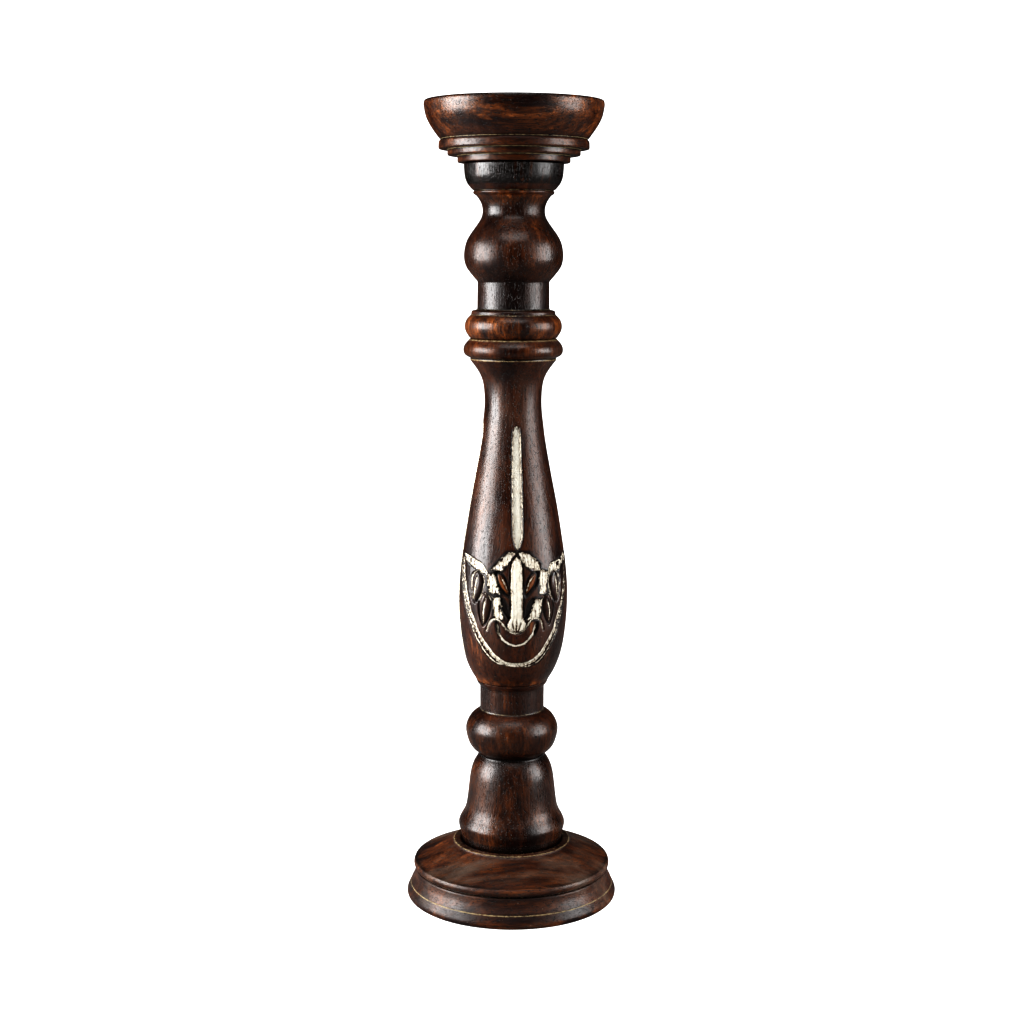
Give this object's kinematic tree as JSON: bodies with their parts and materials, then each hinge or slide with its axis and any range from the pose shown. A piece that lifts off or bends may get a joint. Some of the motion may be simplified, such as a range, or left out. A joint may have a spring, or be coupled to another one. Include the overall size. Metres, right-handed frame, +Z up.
{
  "type": "wooden candlestick",
  "caption": "Turned and carved wooden candlestick with a stepped dish, metal drip pan and pricket for a pillar candle.",
  "frame": {"origin": "centre of the felt's underside, on the table", "axes": "+Z up along the turning axis; -Y towards the front of the carving"},
  "size_m": [0.134, 0.134, 0.5],
  "materials": {
    "dark_wood": "dark mahogany stain under satin-gloss lacquer, rubbed through to orange-brown on the high parts",
    "carved_wood": "dark stain, satin lacquer, with rubbed cream paint in the carving",
    "plain_wood": "bare dowel",
    "aged_brass": "aged brass, brushed, dulled",
    "steel": "plain zinc-plated",
    "felt": "dark green felt"
  },
  "bodies": {
    "root": {"felt_pad": "felt", "base_plinth": "dark_wood", "base_screw": "steel", "screw_washer": "steel", "lower_stem": "dark_wood", "lower_dowel": "plain_wood", "carved_vase": "carved_wood", "upper_dowel": "plain_wood", "upper_stem": "dark_wood", "dish_dowel": "plain_wood", "candle_dish": "dark_wood", "drip_pan": "aged_brass", "pricket_spike": "aged_brass", "pan_pin_1": "aged_brass", "pan_pin_2": "aged_brass", "pan_pin_3": "aged_brass"}
  },
  "joints": []
}
